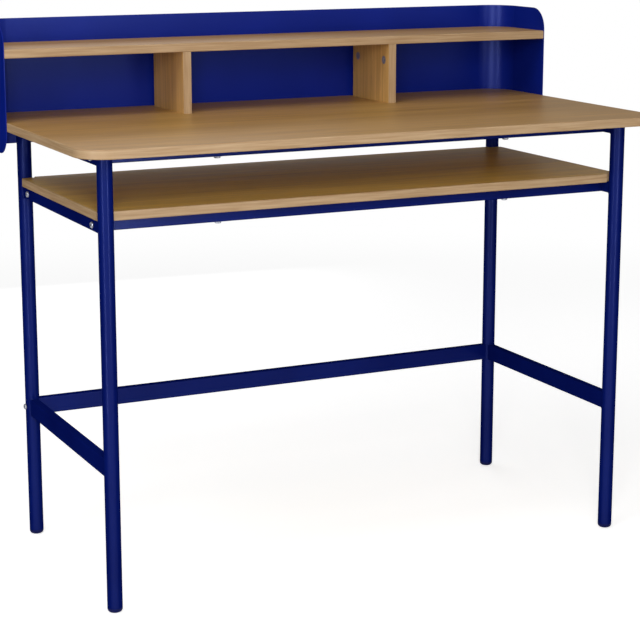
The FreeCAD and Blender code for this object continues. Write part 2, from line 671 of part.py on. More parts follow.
fasteners(new_body("top_rail_bolts", None, "leg_mid_y", "top_bolt_z"), "bolt", "frame_bolt_length",
          "-rail_outer_x", "-half_rail_spread", None, FOUR_WAYS)
fasteners(new_body("shelf_rail_bolts", None, "leg_mid_y", "shelf_bolt_z"), "bolt", "frame_bolt_length",
          "-rail_outer_x", "-half_rail_spread", None, FOUR_WAYS)
fasteners(new_body("stretcher_bolts", None, "leg_rear_y", "stretcher_bolt_z"), "bolt",
          "stretcher_bolt_length", "-leg_outer_x", None, None, ["YZ_Plane"])
for label, level in (("desktop_screws", "top_rail_z"), ("lower_shelf_screws", "shelf_rail_z")):
    fasteners(new_body(label, None, "leg_mid_y", level, *UP), "rail_screw", "face_screw_length",
              None, "-half_rail_spread", "rail_screw_x", ["XZ_Plane", "XY_Plane"])
fasteners(new_body("panel_side_screws", None, "wing_screw_y", "board_mid_z"), "screw", "edge_screw_length",
          "-panel_outer_x", None, "half_board_rise", ["YZ_Plane", "XY_Plane"])
fasteners(new_body("panel_rear_screws", None, "panel_outer_y", "board_mid_z", *FORWARD), "screw",
          "edge_screw_length", None, "-rear_screw_x", "half_board_rise", ["XZ_Plane", "XY_Plane"])

# Cam locks: cast drums in the dividers, each with a driver slot and a side hole for its pin.
cam_locks = new_body("cam_locks", None, "divider_y", "cam_z")
drum = new_sketch(cam_locks, "Drum", "YZ_Plane", x="-half_cam_spread", z="-cam_face_x")
add_circle(drum, "cam_radius")
drum_pad = pad(cam_locks, "DrumPad", drum, "cam_depth", backwards=True)
slot = new_sketch(cam_locks, "Slot", "YZ_Plane", x="-half_cam_spread", z="-cam_face_x")
add_rectangle(slot, "-half_slot_width", "half_slot_width", "-half_slot_length", "half_slot_length")
slot_cut = pocket(cam_locks, "DriverSlot", slot, "cam_slot_depth")
pin_way = new_sketch(cam_locks, "PinWay", "XY_Plane", x="-divider_x", y="-half_cam_spread", z="cam_radius")
add_circle(pin_way, "cam_cut")
pin_way_cut = pocket(cam_locks, "PinHole", pin_way, "cam_cut_depth")
mirror(cam_locks, "Copies", [drum_pad, slot_cut, pin_way_cut], FOUR_WAYS)

# Cam pins: screwed into the raised shelf from below, with their tips in the cams.
cam_pins = new_body("cam_pins", None, "divider_y", "upper_shelf_z")
pin_profile = new_sketch(cam_pins, "Profile", "XZ_Plane", x="-divider_x", z="half_cam_spread")
add_outline(pin_profile, [
    (None, "-pin_foot"), ("pin_radius", "-pin_foot"), ("pin_radius", None), ("pin_thread", None),
    ("pin_thread", "pin_thread_length"), (None, "pin_thread_length")])
pin_turned = revolve(cam_pins, "Turned", pin_profile, "V_Axis")
mirror(cam_pins, "Copies", [pin_turned], FOUR_WAYS)

# Beech dowels between the desktop and the dividers.
divider_dowels = new_body("divider_dowels", None, "divider_y", "dowel_z")
dowel_round = new_sketch(divider_dowels, "Round", "XY_Plane", x="-divider_x", y="-half_cam_spread")
add_circle(dowel_round, "dowel_radius")
dowel_pad = pad(divider_dowels, "Dowel", dowel_round, "dowel_length")
mirror(divider_dowels, "Copies", [dowel_pad], FOUR_WAYS)

# Every feature has to have built, and every piece has to be sound, before anything is written.
doc.recompute()
broken = [item.Name for item in doc.Objects if {"Invalid", "Error"} & set(item.State)]
broken += [body.Label for body in bodies if body.Shape.isNull() or not body.Shape.isValid()]
if broken:
    raise RuntimeError("did not build: " + ", ".join(broken))

os.makedirs("parts", exist_ok=True)
for body in bodies:
    body.Shape.exportStep(f"parts/{body.Label}.step")
print(len(bodies), "pieces written")
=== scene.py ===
import math

import bmesh
import bpy
from mathutils import Matrix, Vector


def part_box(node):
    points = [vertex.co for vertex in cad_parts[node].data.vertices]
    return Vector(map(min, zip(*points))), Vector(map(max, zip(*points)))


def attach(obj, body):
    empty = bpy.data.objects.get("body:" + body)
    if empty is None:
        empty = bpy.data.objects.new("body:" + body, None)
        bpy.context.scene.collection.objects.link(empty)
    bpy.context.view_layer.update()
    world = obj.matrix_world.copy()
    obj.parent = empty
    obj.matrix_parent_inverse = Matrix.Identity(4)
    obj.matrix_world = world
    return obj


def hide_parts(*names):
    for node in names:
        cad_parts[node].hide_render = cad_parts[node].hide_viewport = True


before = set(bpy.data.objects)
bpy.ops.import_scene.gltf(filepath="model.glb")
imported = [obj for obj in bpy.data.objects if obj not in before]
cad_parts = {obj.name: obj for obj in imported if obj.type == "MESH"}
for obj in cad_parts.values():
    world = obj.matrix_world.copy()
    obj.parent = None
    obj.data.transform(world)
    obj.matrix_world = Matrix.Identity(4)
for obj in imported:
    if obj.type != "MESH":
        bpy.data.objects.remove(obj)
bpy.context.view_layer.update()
MM = 0.001

# Desktop, raised shelf and lower shelf.
# Chipboard faced with a printed oak melamine, its grain along the desk, and edged with a lighter plastic
# band of the same print. Cut square, edged and eased by machine, then screwed and pinned together.
FACE_OAK_LIGHT = "#BE9356"
FACE_OAK_DARK = "#997239"
FACE_OAK_PORE = "#7A5628"
# The lower shelf is drawn paler, because the photograph shows it paler than the desktop's shade leaves it.
# Painted light: its oak is a paler copy of the desktop's, standing in for light that the desktop's shade
# keeps off it.
PAINTED_LIT_SHELF_OAK_LIGHT = "#EEC462"
PAINTED_LIT_SHELF_OAK_DARK = "#CB9E42"
BAND_OAK_LIGHT = "#BC9F7C"
BAND_OAK_DARK = "#A88863"
FIGURE_LENGTH, FIGURE_WIDTH = 520 * MM, 46 * MM
STREAK_LENGTH, STREAK_WIDTH = 260 * MM, 7 * MM
# The real pores are about 0.3 mm wide and wouldn't show, so they are drawn at 1.6 mm.
PORE_LENGTH, PORE_WIDTH = 34 * MM, 1.6 * MM
PORE_RELIEF = 0.2 * MM
BAND_STREAK_LENGTH, BAND_STREAK_WIDTH = 90 * MM, 3.5 * MM
# Where a noise, or a mix of noises, counts as dark and as light. Most of a noise lies in the first range.
NOISE_RANGE = 0.3, 0.7
FACE_RANGE = 0.52, 1.0
PORE_RANGE = 0.60, 0.74
BAND_RANGE = 0.34, 0.66
FIGURE_SHARE = 0.55
PORE_DARKNESS = 0.35
FACE_STEEPNESS = 0.8
OAK_ROUGHNESS = 0.36, 0.44
OAK_GLOSS = 0.2
BAND_GLOSS_FADE = 0.1, 0.5


def linear(hex_colour):
    channels = [int(hex_colour[i:i + 2], 16) / 255 for i in (1, 3, 5)]
    return [c / 12.92 if c <= 0.04045 else ((c + 0.055) / 1.055) ** 2.4 for c in channels] + [1.0]


# One node: settings are attributes, values are input sockets by name or place, and a socket given as a
# value is linked.
def add_node(tree, kind, settings=None, values=None):
    node = tree.nodes.new(kind)
    for name, setting in (settings or {}).items():
        setattr(node, name, setting)
    for key, value in (values or {}).items():
        if isinstance(value, bpy.types.NodeSocket):
            tree.links.new(value, node.inputs[key])
        else:
            node.inputs[key].default_value = value
    return node


def new_material(name, **values):
    material = bpy.data.materials.new(name)
    material.use_nodes = True
    tree = material.node_tree
    tree.nodes.clear()
    shader = add_node(tree, "ShaderNodeBsdfPrincipled", values=values)
    add_node(tree, "ShaderNodeOutputMaterial", values={"Surface": shader.outputs["BSDF"]})
    return material, tree, shader


# Turns a value into a colour between a dark and a light one.
def two_tone(tree, value, value_range, dark, light):
    ramp = add_node(tree, "ShaderNodeValToRGB", values={"Fac": value})
    for stop, place, colour in zip(ramp.color_ramp.elements, value_range, (dark, light)):
        stop.position = place
        stop.color = linear(colour)
    return ramp.outputs["Color"]


# Turns a value that runs over one range into one that runs over another.
def remap(tree, value, value_range, low, high):
    return add_node(tree, "ShaderNodeMapRange", values={
        "Value": value, "From Min": value_range[0], "From Max": value_range[1],
        "To Min": low, "To Max": high}).outputs["Result"]


def dress(nodes, material):
    for name in nodes:
        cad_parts[name].material_slots[0].material = material


# Oak melamine: printed figure under a satin overlay, so it has streaks and pores but shines evenly.
def oak_melamine(name, grain_axis, light, dark):
    material, tree, shader = new_material(name, **{"IOR": 1.45, "Specular IOR Level": OAK_GLOSS})
    place = add_node(tree, "ShaderNodeTexCoord").outputs["Object"]

    def grain(length, width, detail, shift):
        size = [1 / width] * 3
        size[grain_axis] = 1 / length
        moved = add_node(tree, "ShaderNodeMapping", values={
            "Vector": place, "Scale": size, "Location": shift})
        noise = add_node(tree, "ShaderNodeTexNoise", values={
            "Vector": moved.outputs["Vector"], "Scale": 1.0, "Detail": detail, "Roughness": 0.55,
            "Distortion": 0.35})
        return noise.outputs["Fac"]

    figure = grain(FIGURE_LENGTH, FIGURE_WIDTH, 3.0, (1.7, 0.3, 0.9))
    streaks = grain(STREAK_LENGTH, STREAK_WIDTH, 4.0, (0.0, 4.1, 2.2))
    pores = grain(PORE_LENGTH, PORE_WIDTH, 2.0, (5.3, 0.0, 7.7))
    tone = add_node(tree, "ShaderNodeMath", {"operation": "MULTIPLY_ADD"}, {
        0: figure, 1: FIGURE_SHARE, 2: streaks})
    face = two_tone(tree, tone.outputs["Value"], FACE_RANGE, dark, light)
    pore_mask = remap(tree, pores, PORE_RANGE, 0.0, PORE_DARKNESS)
    pored = add_node(tree, "ShaderNodeMix", {"data_type": "RGBA"}, {
        0: pore_mask, 6: face, 7: linear(FACE_OAK_PORE)})

    split = add_node(tree, "ShaderNodeSeparateXYZ", values={"Vector": place})
    along = add_node(tree, "ShaderNodeMath", {"operation": "ADD"}, {
        0: split.outputs["X"], 1: split.outputs["Y"]})
    band_ways = [along.outputs["Value"], split.outputs["Z"]]
    if grain_axis == 2:
        band_ways.reverse()
    band_place = add_node(tree, "ShaderNodeCombineXYZ", values={"X": band_ways[0], "Z": band_ways[1]})
    band_size = (1 / BAND_STREAK_LENGTH, 1.0, 1 / BAND_STREAK_WIDTH)
    band_moved = add_node(tree, "ShaderNodeMapping", values={
        "Vector": band_place.outputs["Vector"], "Scale": band_size})
    band_noise = add_node(tree, "ShaderNodeTexNoise", values={
        "Vector": band_moved.outputs["Vector"], "Scale": 1.0, "Detail": 3.0, "Distortion": 0.3})
    band = two_tone(tree, band_noise.outputs["Fac"], BAND_RANGE, BAND_OAK_DARK, BAND_OAK_LIGHT)

    facing = add_node(tree, "ShaderNodeSeparateXYZ", values={
        "Vector": add_node(tree, "ShaderNodeNewGeometry").outputs["True Normal"]})
    face_side = "Z" if grain_axis == 0 else "X"
    flatness = add_node(tree, "ShaderNodeMath", {"operation": "ABSOLUTE"}, {0: facing.outputs[face_side]})
    is_face = add_node(tree, "ShaderNodeMath", {"operation": "GREATER_THAN"}, {
        0: flatness.outputs["Value"], 1: FACE_STEEPNESS})
    colour = add_node(tree, "ShaderNodeMix", {"data_type": "RGBA"}, {
        0: is_face.outputs["Value"], 6: band, 7: pored.outputs[2]})
    tree.links.new(colour.outputs[2], shader.inputs["Base Color"])
    # The overlay shines, and the planed edge band only where it is seen square on.
    edge_on = add_node(tree, "ShaderNodeLayerWeight", values={"Blend": 0.5}).outputs["Facing"]
    band_gloss = remap(tree, edge_on, BAND_GLOSS_FADE, OAK_GLOSS, 0.0)
    gloss = add_node(tree, "ShaderNodeMix", {"data_type": "FLOAT"}, {
        0: is_face.outputs["Value"], 2: band_gloss, 3: OAK_GLOSS})
    tree.links.new(gloss.outputs[0], shader.inputs["Specular IOR Level"])
    tree.links.new(remap(tree, streaks, NOISE_RANGE, *OAK_ROUGHNESS), shader.inputs["Roughness"])
    relief = add_node(tree, "ShaderNodeBump", values={
        "Height": pores, "Strength": 0.12, "Distance": PORE_RELIEF})
    tree.links.new(relief.outputs["Normal"], shader.inputs["Normal"])
    return material


dress(["desktop", "upper_shelf"], oak_melamine("oak_melamine_boards", 0, FACE_OAK_LIGHT, FACE_OAK_DARK))
dress(["lower_shelf"], oak_melamine("oak_melamine_shelf_painted_light", 0, PAINTED_LIT_SHELF_OAK_LIGHT, PAINTED_LIT_SHELF_OAK_DARK))

# Dividers.
# The same oak-faced board stood on end, so its grain runs upright. Each one is pinned to the desktop by
# dowels and drawn up to the raised shelf by two cam locks.
# Painted light: the dividers' oak is a paler copy of the desktop's, standing in for light in the shade of the
# cubbies.
PAINTED_LIT_DIVIDER_OAK_LIGHT = "#E0B26B"
PAINTED_LIT_DIVIDER_OAK_DARK = "#BB8E4D"
dress(["left_divider", "right_divider"],
      oak_melamine("oak_melamine_dividers_painted_light", 2, PAINTED_LIT_DIVIDER_OAK_LIGHT, PAINTED_LIT_DIVIDER_OAK_DARK))

# Back panel.
# One sheet of steel with drilled screw holes and rounded wing corners, bent twice round the back of the desk
# and powder coated dark blue. Screws hold its wings and its back to the edges of the two upper boards.
SHEET_BLUE = "#0E2082"
SHEET_BLUE_DEEP = "#0A1B74"
COAT_SHINE = "#95A8FF"
# The real orange peel is about 1 mm across and wouldn't show, so it is drawn at 5 mm.
PEEL_SIZE = 5 * MM
PEEL_RELIEF = 0.15 * MM
CLOUD_SIZE = 160 * MM
COAT_SQUARE_ON = 0.06
COAT_UNEVENNESS = 0.06
SHEET_GLOSS = 0.40
SHEET_ROUGHNESS = 0.28
SHEET_EDGE_ON = 0.5


# Powder coat on steel: a melted polyester skin, evenly coloured, satin and very slightly rippled. Its pigment
# lies so near the surface that the shine is blue too.
def powder_coat(name, blue, deep_blue, gloss_level, roughness, edge_on):
    material, tree, shader = new_material(name, **{
        "IOR": 1.5, "Specular IOR Level": gloss_level, "Specular Tint": linear(COAT_SHINE)})
    place = add_node(tree, "ShaderNodeTexCoord").outputs["Object"]
    cloud = add_node(tree, "ShaderNodeTexNoise", values={
        "Vector": place, "Scale": 1 / CLOUD_SIZE, "Detail": 2.0})
    colour = two_tone(tree, cloud.outputs["Fac"], NOISE_RANGE, deep_blue, blue)
    tree.links.new(colour, shader.inputs["Base Color"])
    peel = add_node(tree, "ShaderNodeTexNoise", values={
        "Vector": place, "Scale": 1 / PEEL_SIZE, "Detail": 1.0}).outputs["Fac"]
    shine = remap(tree, peel, NOISE_RANGE, roughness, roughness + COAT_UNEVENNESS)
    tree.links.new(shine, shader.inputs["Roughness"])
    # The rippled skin loses its gloss where it is seen edge on.
    facing = add_node(tree, "ShaderNodeLayerWeight", values={"Blend": 0.5}).outputs["Facing"]
    gloss = remap(tree, facing, (COAT_SQUARE_ON, edge_on), gloss_level, 0.0)
    tree.links.new(gloss, shader.inputs["Specular IOR Level"])
    relief = add_node(tree, "ShaderNodeBump", values={
        "Height": peel, "Strength": 0.06, "Distance": PEEL_RELIEF})
    tree.links.new(relief.outputs["Normal"], shader.inputs["Normal"])
    return material


dress(["back_panel"], powder_coat(
    "blue_powder_coat_sheet", SHEET_BLUE, SHEET_BLUE_DEEP, SHEET_GLOSS, SHEET_ROUGHNESS, SHEET_EDGE_ON))

# Legs and tubes.
# Round and rectangular steel tube. The two end frames are welded, the cross rails and the rear stretcher
# are bolted between them, and all of it has the panel's powder coat, drawn a shade deeper as painted shade.
PAINTED_SHADE_TUBE_BLUE = "#081761"
PAINTED_SHADE_TUBE_BLUE_DEEP = "#061256"
TUBE_GLOSS = 0.25
TUBE_ROUGHNESS = 0.20
TUBE_EDGE_ON = 0.22
ends = [(depth, side) for depth in ("front", "rear") for side in ("left", "right")]
legs = [f"{depth}_{side}_leg" for depth, side in ends]
tubes = [f"{part}_{level}_rail" for part in ("left", "right", "front", "rear") for level in ("top", "shelf")]
tubes += ["left_stretcher", "right_stretcher", "rear_stretcher"]
painted_shade_tube_coat = powder_coat(
    "blue_powder_coat_tube_painted_shade", PAINTED_SHADE_TUBE_BLUE, PAINTED_SHADE_TUBE_BLUE_DEEP, TUBE_GLOSS, TUBE_ROUGHNESS, TUBE_EDGE_ON)
dress(legs + tubes, painted_shade_tube_coat)

# Welds.
# Beads of weld metal where the side rails and side stretchers meet the round legs. They are run down both
# sides and under each rail, and all round each stretcher, and the same powder covers them.
BEAD_RADIUS = 1.4 * MM
BEAD_STEPS = 4
BEAD_ROUNDNESS = 3
BEAD_TOP_GAP = 2.5 * MM


# One bead: it follows the round of the leg across the tube's underside, and goes up its two sides.
def weld_bead(path, tube, leg, all_round):
    low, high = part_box(tube)
    leg_low, leg_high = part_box(leg)
    middle = (leg_low + leg_high) / 2
    leg_radius = (leg_high.x - leg_low.x) / 2
    reach = math.asin((high.x - low.x) / 2 / leg_radius)
    way = 1 if (low.y + high.y) / 2 > middle.y else -1

    def at(share, height):
        turn = reach * share / BEAD_STEPS
        along, out = leg_radius * math.sin(turn), way * leg_radius * math.cos(turn)
        return middle.x + along, middle.y + out, height, 1.0

    top = high.z if all_round else high.z - BEAD_TOP_GAP
    across = range(-BEAD_STEPS, BEAD_STEPS + 1)
    line = [at(share, low.z) for share in across]
    line += [at(-share, top) for share in across] if all_round else [at(BEAD_STEPS, top)]
    if not all_round:
        line.insert(0, at(-BEAD_STEPS, top))
    bead = path.splines.new("POLY")
    bead.points.add(len(line) - 1)
    for point, place in zip(bead.points, line):
        point.co = place
    bead.use_cyclic_u = all_round


for side in ("left", "right"):
    path = bpy.data.curves.new(f"{side}_weld_path", "CURVE")
    path.dimensions = "3D"
    path.bevel_depth = BEAD_RADIUS
    path.bevel_resolution = BEAD_ROUNDNESS
    path.use_fill_caps = True
    for depth in ("front", "rear"):
        for part in ("top_rail", "shelf_rail", "stretcher"):
            weld_bead(path, f"{side}_{part}", f"{depth}_{side}_leg", all_round=part == "stretcher")
    run = bpy.data.objects.new(f"{side}_weld_path", path)
    beads = bpy.data.objects.new(f"{side}_frame_welds", bpy.data.meshes.new_from_object(run))
    bpy.data.objects.remove(run)
    # The beads take the tubes' coat, painted shade and all.
    beads.data.materials.append(painted_shade_tube_coat)
    bpy.context.scene.collection.objects.link(beads)
    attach(beads, "root")

# Feet.
# Plugs of dark blue polyethylene moulded in one piece and pressed into the leg ends. The sole is rounded so
# that it slides on a floor, and a fine groove shows where the tube stops.
FOOT_BLUE = "#0A1250"
FOOT_BLUE_DEEP = "#080E42"
# The real mould grain is about 0.3 mm across and wouldn't show, so it is drawn at 2 mm.
MOULD_GRAIN = 2 * MM
MOULD_RELIEF = 0.1 * MM
FOOT_GLOSS = 0.1
FOOT_ROUGHNESS = 0.55, 0.65
FOOT_STEPS = 48
SOLE_ROUND, SOLE_STEPS = 6 * MM, 8
GROOVE_ROUND = 0.5 * MM
STEM_INSET = 1.6 * MM
FOOT_HEIGHT = 8 * MM
SHARP_EDGE = math.radians(35)
MERGE_GAP = 0.001 * MM


# Spins a half outline of (radius, height, rounding) corners once round the upright axis.
def turn_outline(shape, corners, steps, round_steps):
    dots = [shape.verts.new((radius, 0.0, height)) for radius, height, rounding in corners]
    for pair in zip(dots, dots[1:]):
        shape.edges.new(pair)
    for dot, (radius, height, rounding) in zip(dots, corners):
        if rounding:
            bmesh.ops.bevel(shape, geom=[dot], offset=rounding, offset_type="OFFSET", affect="VERTICES",
                            segments=round_steps, profile=0.5, material=-1)
    bmesh.ops.spin(shape, geom=shape.verts[:] + shape.edges[:], cent=(0, 0, 0), axis=(0, 0, 1),
                   angle=2 * math.pi, steps=steps, use_merge=True)
    bmesh.ops.remove_doubles(shape, verts=shape.verts, dist=MERGE_GAP)


# Shades a finished shape smooth up to its sharp edges and makes it a piece of the desk.
def make_piece(name, shape, material, slot, *nodes):
    bmesh.ops.recalc_face_normals(shape, faces=shape.faces)
    mesh = bpy.data.meshes.new(name)
    shape.to_mesh(mesh)
    shape.free()
    mesh.shade_smooth()
    mesh.set_sharp_from_angle(angle=SHARP_EDGE)
    mesh.materials.append(material)
    piece = bpy.data.objects.new(name, mesh)
    bpy.context.scene.collection.objects.link(piece)
    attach(piece, "root")
    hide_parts(*nodes)


foot_plastic, tree, shader = new_material(
    "moulded_polyethylene", **{"IOR": 1.5, "Specular IOR Level": FOOT_GLOSS})
place = add_node(tree, "ShaderNodeTexCoord").outputs["Object"]
grain = add_node(tree, "ShaderNodeTexNoise", values={
    "Vector": place, "Scale": 1 / MOULD_GRAIN, "Detail": 2.0}).outputs["Fac"]
shade = two_tone(tree, grain, NOISE_RANGE, FOOT_BLUE_DEEP, FOOT_BLUE)
tree.links.new(shade, shader.inputs["Base Color"])
tree.links.new(remap(tree, grain, NOISE_RANGE, *FOOT_ROUGHNESS), shader.inputs["Roughness"])
relief = add_node(tree, "ShaderNodeBump", values={
    "Height": grain, "Strength": 0.2, "Distance": MOULD_RELIEF})
tree.links.new(relief.outputs["Normal"], shader.inputs["Normal"])
for depth, side in ends:
    low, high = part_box(f"{depth}_{side}_foot")
    foot_radius = (high.x - low.x) / 2
    stem_radius = foot_radius - STEM_INSET
    shape = bmesh.new()
    turn_outline(shape, [
        (0.0, 0.0, 0.0), (foot_radius, 0.0, SOLE_ROUND), (foot_radius, FOOT_HEIGHT, GROOVE_ROUND),
        (stem_radius, FOOT_HEIGHT, 0.0), (stem_radius, high.z - low.z, 0.0), (0.0, high.z - low.z, 0.0)],
        FOOT_STEPS, SOLE_STEPS)
    bmesh.ops.translate(shape, verts=shape.verts, vec=((low.x + high.x) / 2, (low.y + high.y) / 2, low.z))
    make_piece(f"{depth}_{side}_foot_plug", shape, foot_plastic, "foot_plastic", f"{depth}_{side}_foot")

# Bolts and wood screws.
# Cold-headed steel with low domed heads and hexagon sockets, plated with zinc in a tumbling barrel. Bolts
# join the end frames to the cross tubes, and screws hold the boards and the bent panel.
HEAD_STEPS, CROWN_STEPS = 24, 6
SOCKET_DEPTH = 1.6 * MM
SOCKET_SIDES = 6
RIM_TO_SOCKET = 1.2
TIP_ROUND = 0.8 * MM
# The plating's real grain is finer than 0.2 mm and wouldn't show, so it is drawn at 1.5 mm.
BARREL_GRAIN = 1.5 * MM
PLATE_UNEVENNESS = 0.15
ZINC_BRIGHT, ZINC_DULL, ZINC_ROUGHNESS = "#A0A3AE", "#7D808C", 0.25
# Head radius, head height, round of the crown, socket across its flats, shank radius and shank length.
BOLT = [size * MM for size in (5.25, 3.4, 2.3, 4.0, 3.0, 26.0)]
STRETCHER_BOLT = BOLT[:-1] + [36.0 * MM]
RAIL_SCREW = [size * MM for size in (5.75, 3.2, 2.2, 4.0, 2.25, 30.0)]
PANEL_SCREW = [size * MM for size in (4.25, 2.0, 1.5, 3.0, 2.25, 23.8)]


def plated_steel(name, colour, dull_colour, roughness):
    material, tree, shader = new_material(name, **{"Metallic": 1.0})
    place = add_node(tree, "ShaderNodeTexCoord").outputs["Object"]
    grain = add_node(tree, "ShaderNodeTexNoise", values={
        "Vector": place, "Scale": 1 / BARREL_GRAIN, "Detail": 3.0}).outputs["Fac"]
    shade = two_tone(tree, grain, NOISE_RANGE, dull_colour, colour)
    tree.links.new(shade, shader.inputs["Base Color"])
    shine = remap(tree, grain, NOISE_RANGE, roughness, roughness + PLATE_UNEVENNESS)
    tree.links.new(shine, shader.inputs["Roughness"])
    return material


# One fastener, standing on its head's seat at the origin with its head up.
def headed_pattern(head, rise, crown, socket, shank, length):
    socket_tip = socket / math.sqrt(3)
    shape = bmesh.new()
    turn_outline(shape, [
        (socket_tip * RIM_TO_SOCKET, rise, 0.0), (head, rise, crown), (head, 0.0, 0.0), (shank, 0.0, 0.0),
        (shank, -length, TIP_ROUND), (0.0, -length, 0.0)], HEAD_STEPS, CROWN_STEPS)
    rim = [edge for edge in shape.edges if edge.is_boundary]
    hexagon = bmesh.ops.create_circle(shape, segments=SOCKET_SIDES, radius=socket_tip,
                                      matrix=Matrix.Translation((0.0, 0.0, rise)))["verts"]
    sides = list({edge for corner in hexagon for edge in corner.link_edges})
    bmesh.ops.subdivide_edges(shape, edges=sides, cuts=HEAD_STEPS // SOCKET_SIDES - 1)
    mouth = [edge for edge in shape.edges if edge.is_wire]
    bmesh.ops.bridge_loops(shape, edges=rim + mouth)
    walls = bmesh.ops.extrude_edge_only(shape, edges=mouth)["geom"]
    floor_dots = [part for part in walls if isinstance(part, bmesh.types.BMVert)]
    bmesh.ops.translate(shape, verts=floor_dots, vec=(0.0, 0.0, -SOCKET_DEPTH))
    bmesh.ops.holes_fill(shape, edges=[edge for edge in shape.edges if edge.is_boundary])
    pattern = bpy.data.meshes.new("headed_pattern")
    shape.to_mesh(pattern)
    shape.free()
    return pattern


# A node's group of fasteners: heads stand along one axis, a head's radius in from the other sides of its box.
def drive_in(name, node, slot, material, size, axis, ways):
    head, rise = size[:2]
    low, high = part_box(node)
    pattern = headed_pattern(*size)
    group = bmesh.new()
    rows = [sorted({round(low[side] + head, 6), round(high[side] - head, 6)}) for side in range(3)]
    for way in ways:
        rows[axis] = [high[axis] - rise if way > 0 else low[axis] + rise]
        facing = Vector([way if side == axis else 0 for side in range(3)])
        turn = Vector((0, 0, 1)).rotation_difference(facing).to_matrix().to_4x4()
        for seat in [(x, y, z) for x in rows[0] for y in rows[1] for z in rows[2]]:
            group.from_mesh(pattern)
            group.verts.ensure_lookup_table()
            bmesh.ops.transform(group, matrix=Matrix.Translation(seat) @ turn,
                                verts=group.verts[-len(pattern.vertices):])
    bpy.data.meshes.remove(pattern)
    make_piece(name, group, material, slot, node)


zinc = plated_steel("barrel_zinc_plate", ZINC_BRIGHT, ZINC_DULL, ZINC_ROUGHNESS)
for level in ("top", "shelf"):
    drive_in(f"{level}_rail_bolt_set", f"{level}_rail_bolts", "zinc_fasteners", zinc, BOLT, 0, (-1, 1))
drive_in("stretcher_bolt_set", "stretcher_bolts", "zinc_fasteners", zinc, STRETCHER_BOLT, 0, (-1, 1))
for board in ("desktop", "lower_shelf"):
    drive_in(f"{board}_screw_set", f"{board}_screws", "zinc_fasteners", zinc, RAIL_SCREW, 2, (-1,))
drive_in("panel_side_screw_set", "panel_side_screws", "panel_fasteners", zinc, PANEL_SCREW, 0, (-1, 1))
drive_in("panel_rear_screw_set", "panel_rear_screws", "panel_fasteners", zinc, PANEL_SCREW, 1, (1,))

# Nut blocks, cam locks and pins.
# Turned steel blocks welded in the tube ends, cast zinc drums with a driver slot in the dividers, and the
# plated pins that they pull on. Only the drums' faces show.
STEEL_BRIGHT, STEEL_DULL, STEEL_ROUGHNESS = "#8E8E90", "#737375", 0.35
CAST_BRIGHT, CAST_DULL, CAST_ROUGHNESS = "#B5AFB3", "#969098", 0.5
dress(["cam_pins"], zinc)
dress(["top_rail_nuts", "shelf_rail_nuts", "stretcher_nuts"],
      plated_steel("bare_turned_steel", STEEL_BRIGHT, STEEL_DULL, STEEL_ROUGHNESS))
dress(["cam_locks"], plated_steel("die_cast_zinc", CAST_BRIGHT, CAST_DULL, CAST_ROUGHNESS))

# Dowels.
# Turned beech, glued into the desktop and the dividers and out of sight in the finished desk.
BEECH_LIGHT, BEECH_DARK = "#D9B78C", "#B98F62"
BEECH_LENGTH, BEECH_WIDTH = 20 * MM, 1 * MM
beech, tree, shader = new_material("turned_beech", **{"Roughness": 0.6, "IOR": 1.5})
place = add_node(tree, "ShaderNodeTexCoord").outputs["Object"]
fibres = add_node(tree, "ShaderNodeMapping", values={
    "Vector": place, "Scale": (1 / BEECH_WIDTH, 1 / BEECH_WIDTH, 1 / BEECH_LENGTH)})
fleck = add_node(tree, "ShaderNodeTexNoise", values={"Vector": fibres.outputs["Vector"], "Scale": 1.0})
shade = two_tone(tree, fleck.outputs["Fac"], NOISE_RANGE, BEECH_DARK, BEECH_LIGHT)
tree.links.new(shade, shader.inputs["Base Color"])
dress(["divider_dowels"], beech)

# Floor.
# A white studio sweep. Near the desk it takes the desk's shadow, and further off it fades into plain white.
# The eye and the desk's gloss see it lifted, and it throws back no more light than matt paper does.
PAPER_WHITE = "#E7E7E7"
FLOOR_HALF = 40.0
SWEEP_NEAR, SWEEP_FAR = 1.2, 3.2
FLOOR_LIFT = 0.60
floor_mesh = bpy.data.meshes.new("studio_floor")
shape = bmesh.new()
bmesh.ops.create_grid(shape, x_segments=1, y_segments=1, size=FLOOR_HALF)
shape.to_mesh(floor_mesh)
shape.free()
floor = bpy.data.objects.new("studio_floor", floor_mesh)
bpy.context.scene.collection.objects.link(floor)
paper = bpy.data.materials.new("white_paper_sweep")
paper.use_nodes = True
tree = paper.node_tree
tree.nodes.clear()
rays = add_node(tree, "ShaderNodeLightPath")
mirror_rays = add_node(tree, "ShaderNodeMath", {"operation": "MAXIMUM"}, {
    0: rays.outputs["Is Glossy Ray"], 1: rays.outputs["Is Transmission Ray"]})
seen = add_node(tree, "ShaderNodeMath", {"operation": "MAXIMUM"}, {
    0: rays.outputs["Is Camera Ray"], 1: mirror_rays.outputs["Value"]})
distance = add_node(tree, "ShaderNodeVectorMath", {"operation": "LENGTH"}, {
    0: add_node(tree, "ShaderNodeTexCoord").outputs["Object"]})
fade = add_node(tree, "ShaderNodeMapRange", {"interpolation_type": "SMOOTHSTEP"}, {
    "Value": distance.outputs["Value"], "From Min": SWEEP_NEAR, "From Max": SWEEP_FAR})
matte = add_node(tree, "ShaderNodeBsdfDiffuse", values={"Color": linear(PAPER_WHITE)})
lift = add_node(tree, "ShaderNodeEmission", values={"Strength": FLOOR_LIFT})
lifted = add_node(tree, "ShaderNodeAddShader", values={0: matte.outputs[0], 1: lift.outputs[0]})
white = add_node(tree, "ShaderNodeEmission", values={"Strength": 1.0})
sweep = add_node(tree, "ShaderNodeMixShader", values={
    0: fade.outputs["Result"], 1: lifted.outputs[0], 2: white.outputs[0]})
surface = add_node(tree, "ShaderNodeMixShader", values={
    0: seen.outputs["Value"], 1: matte.outputs[0], 2: sweep.outputs[0]})
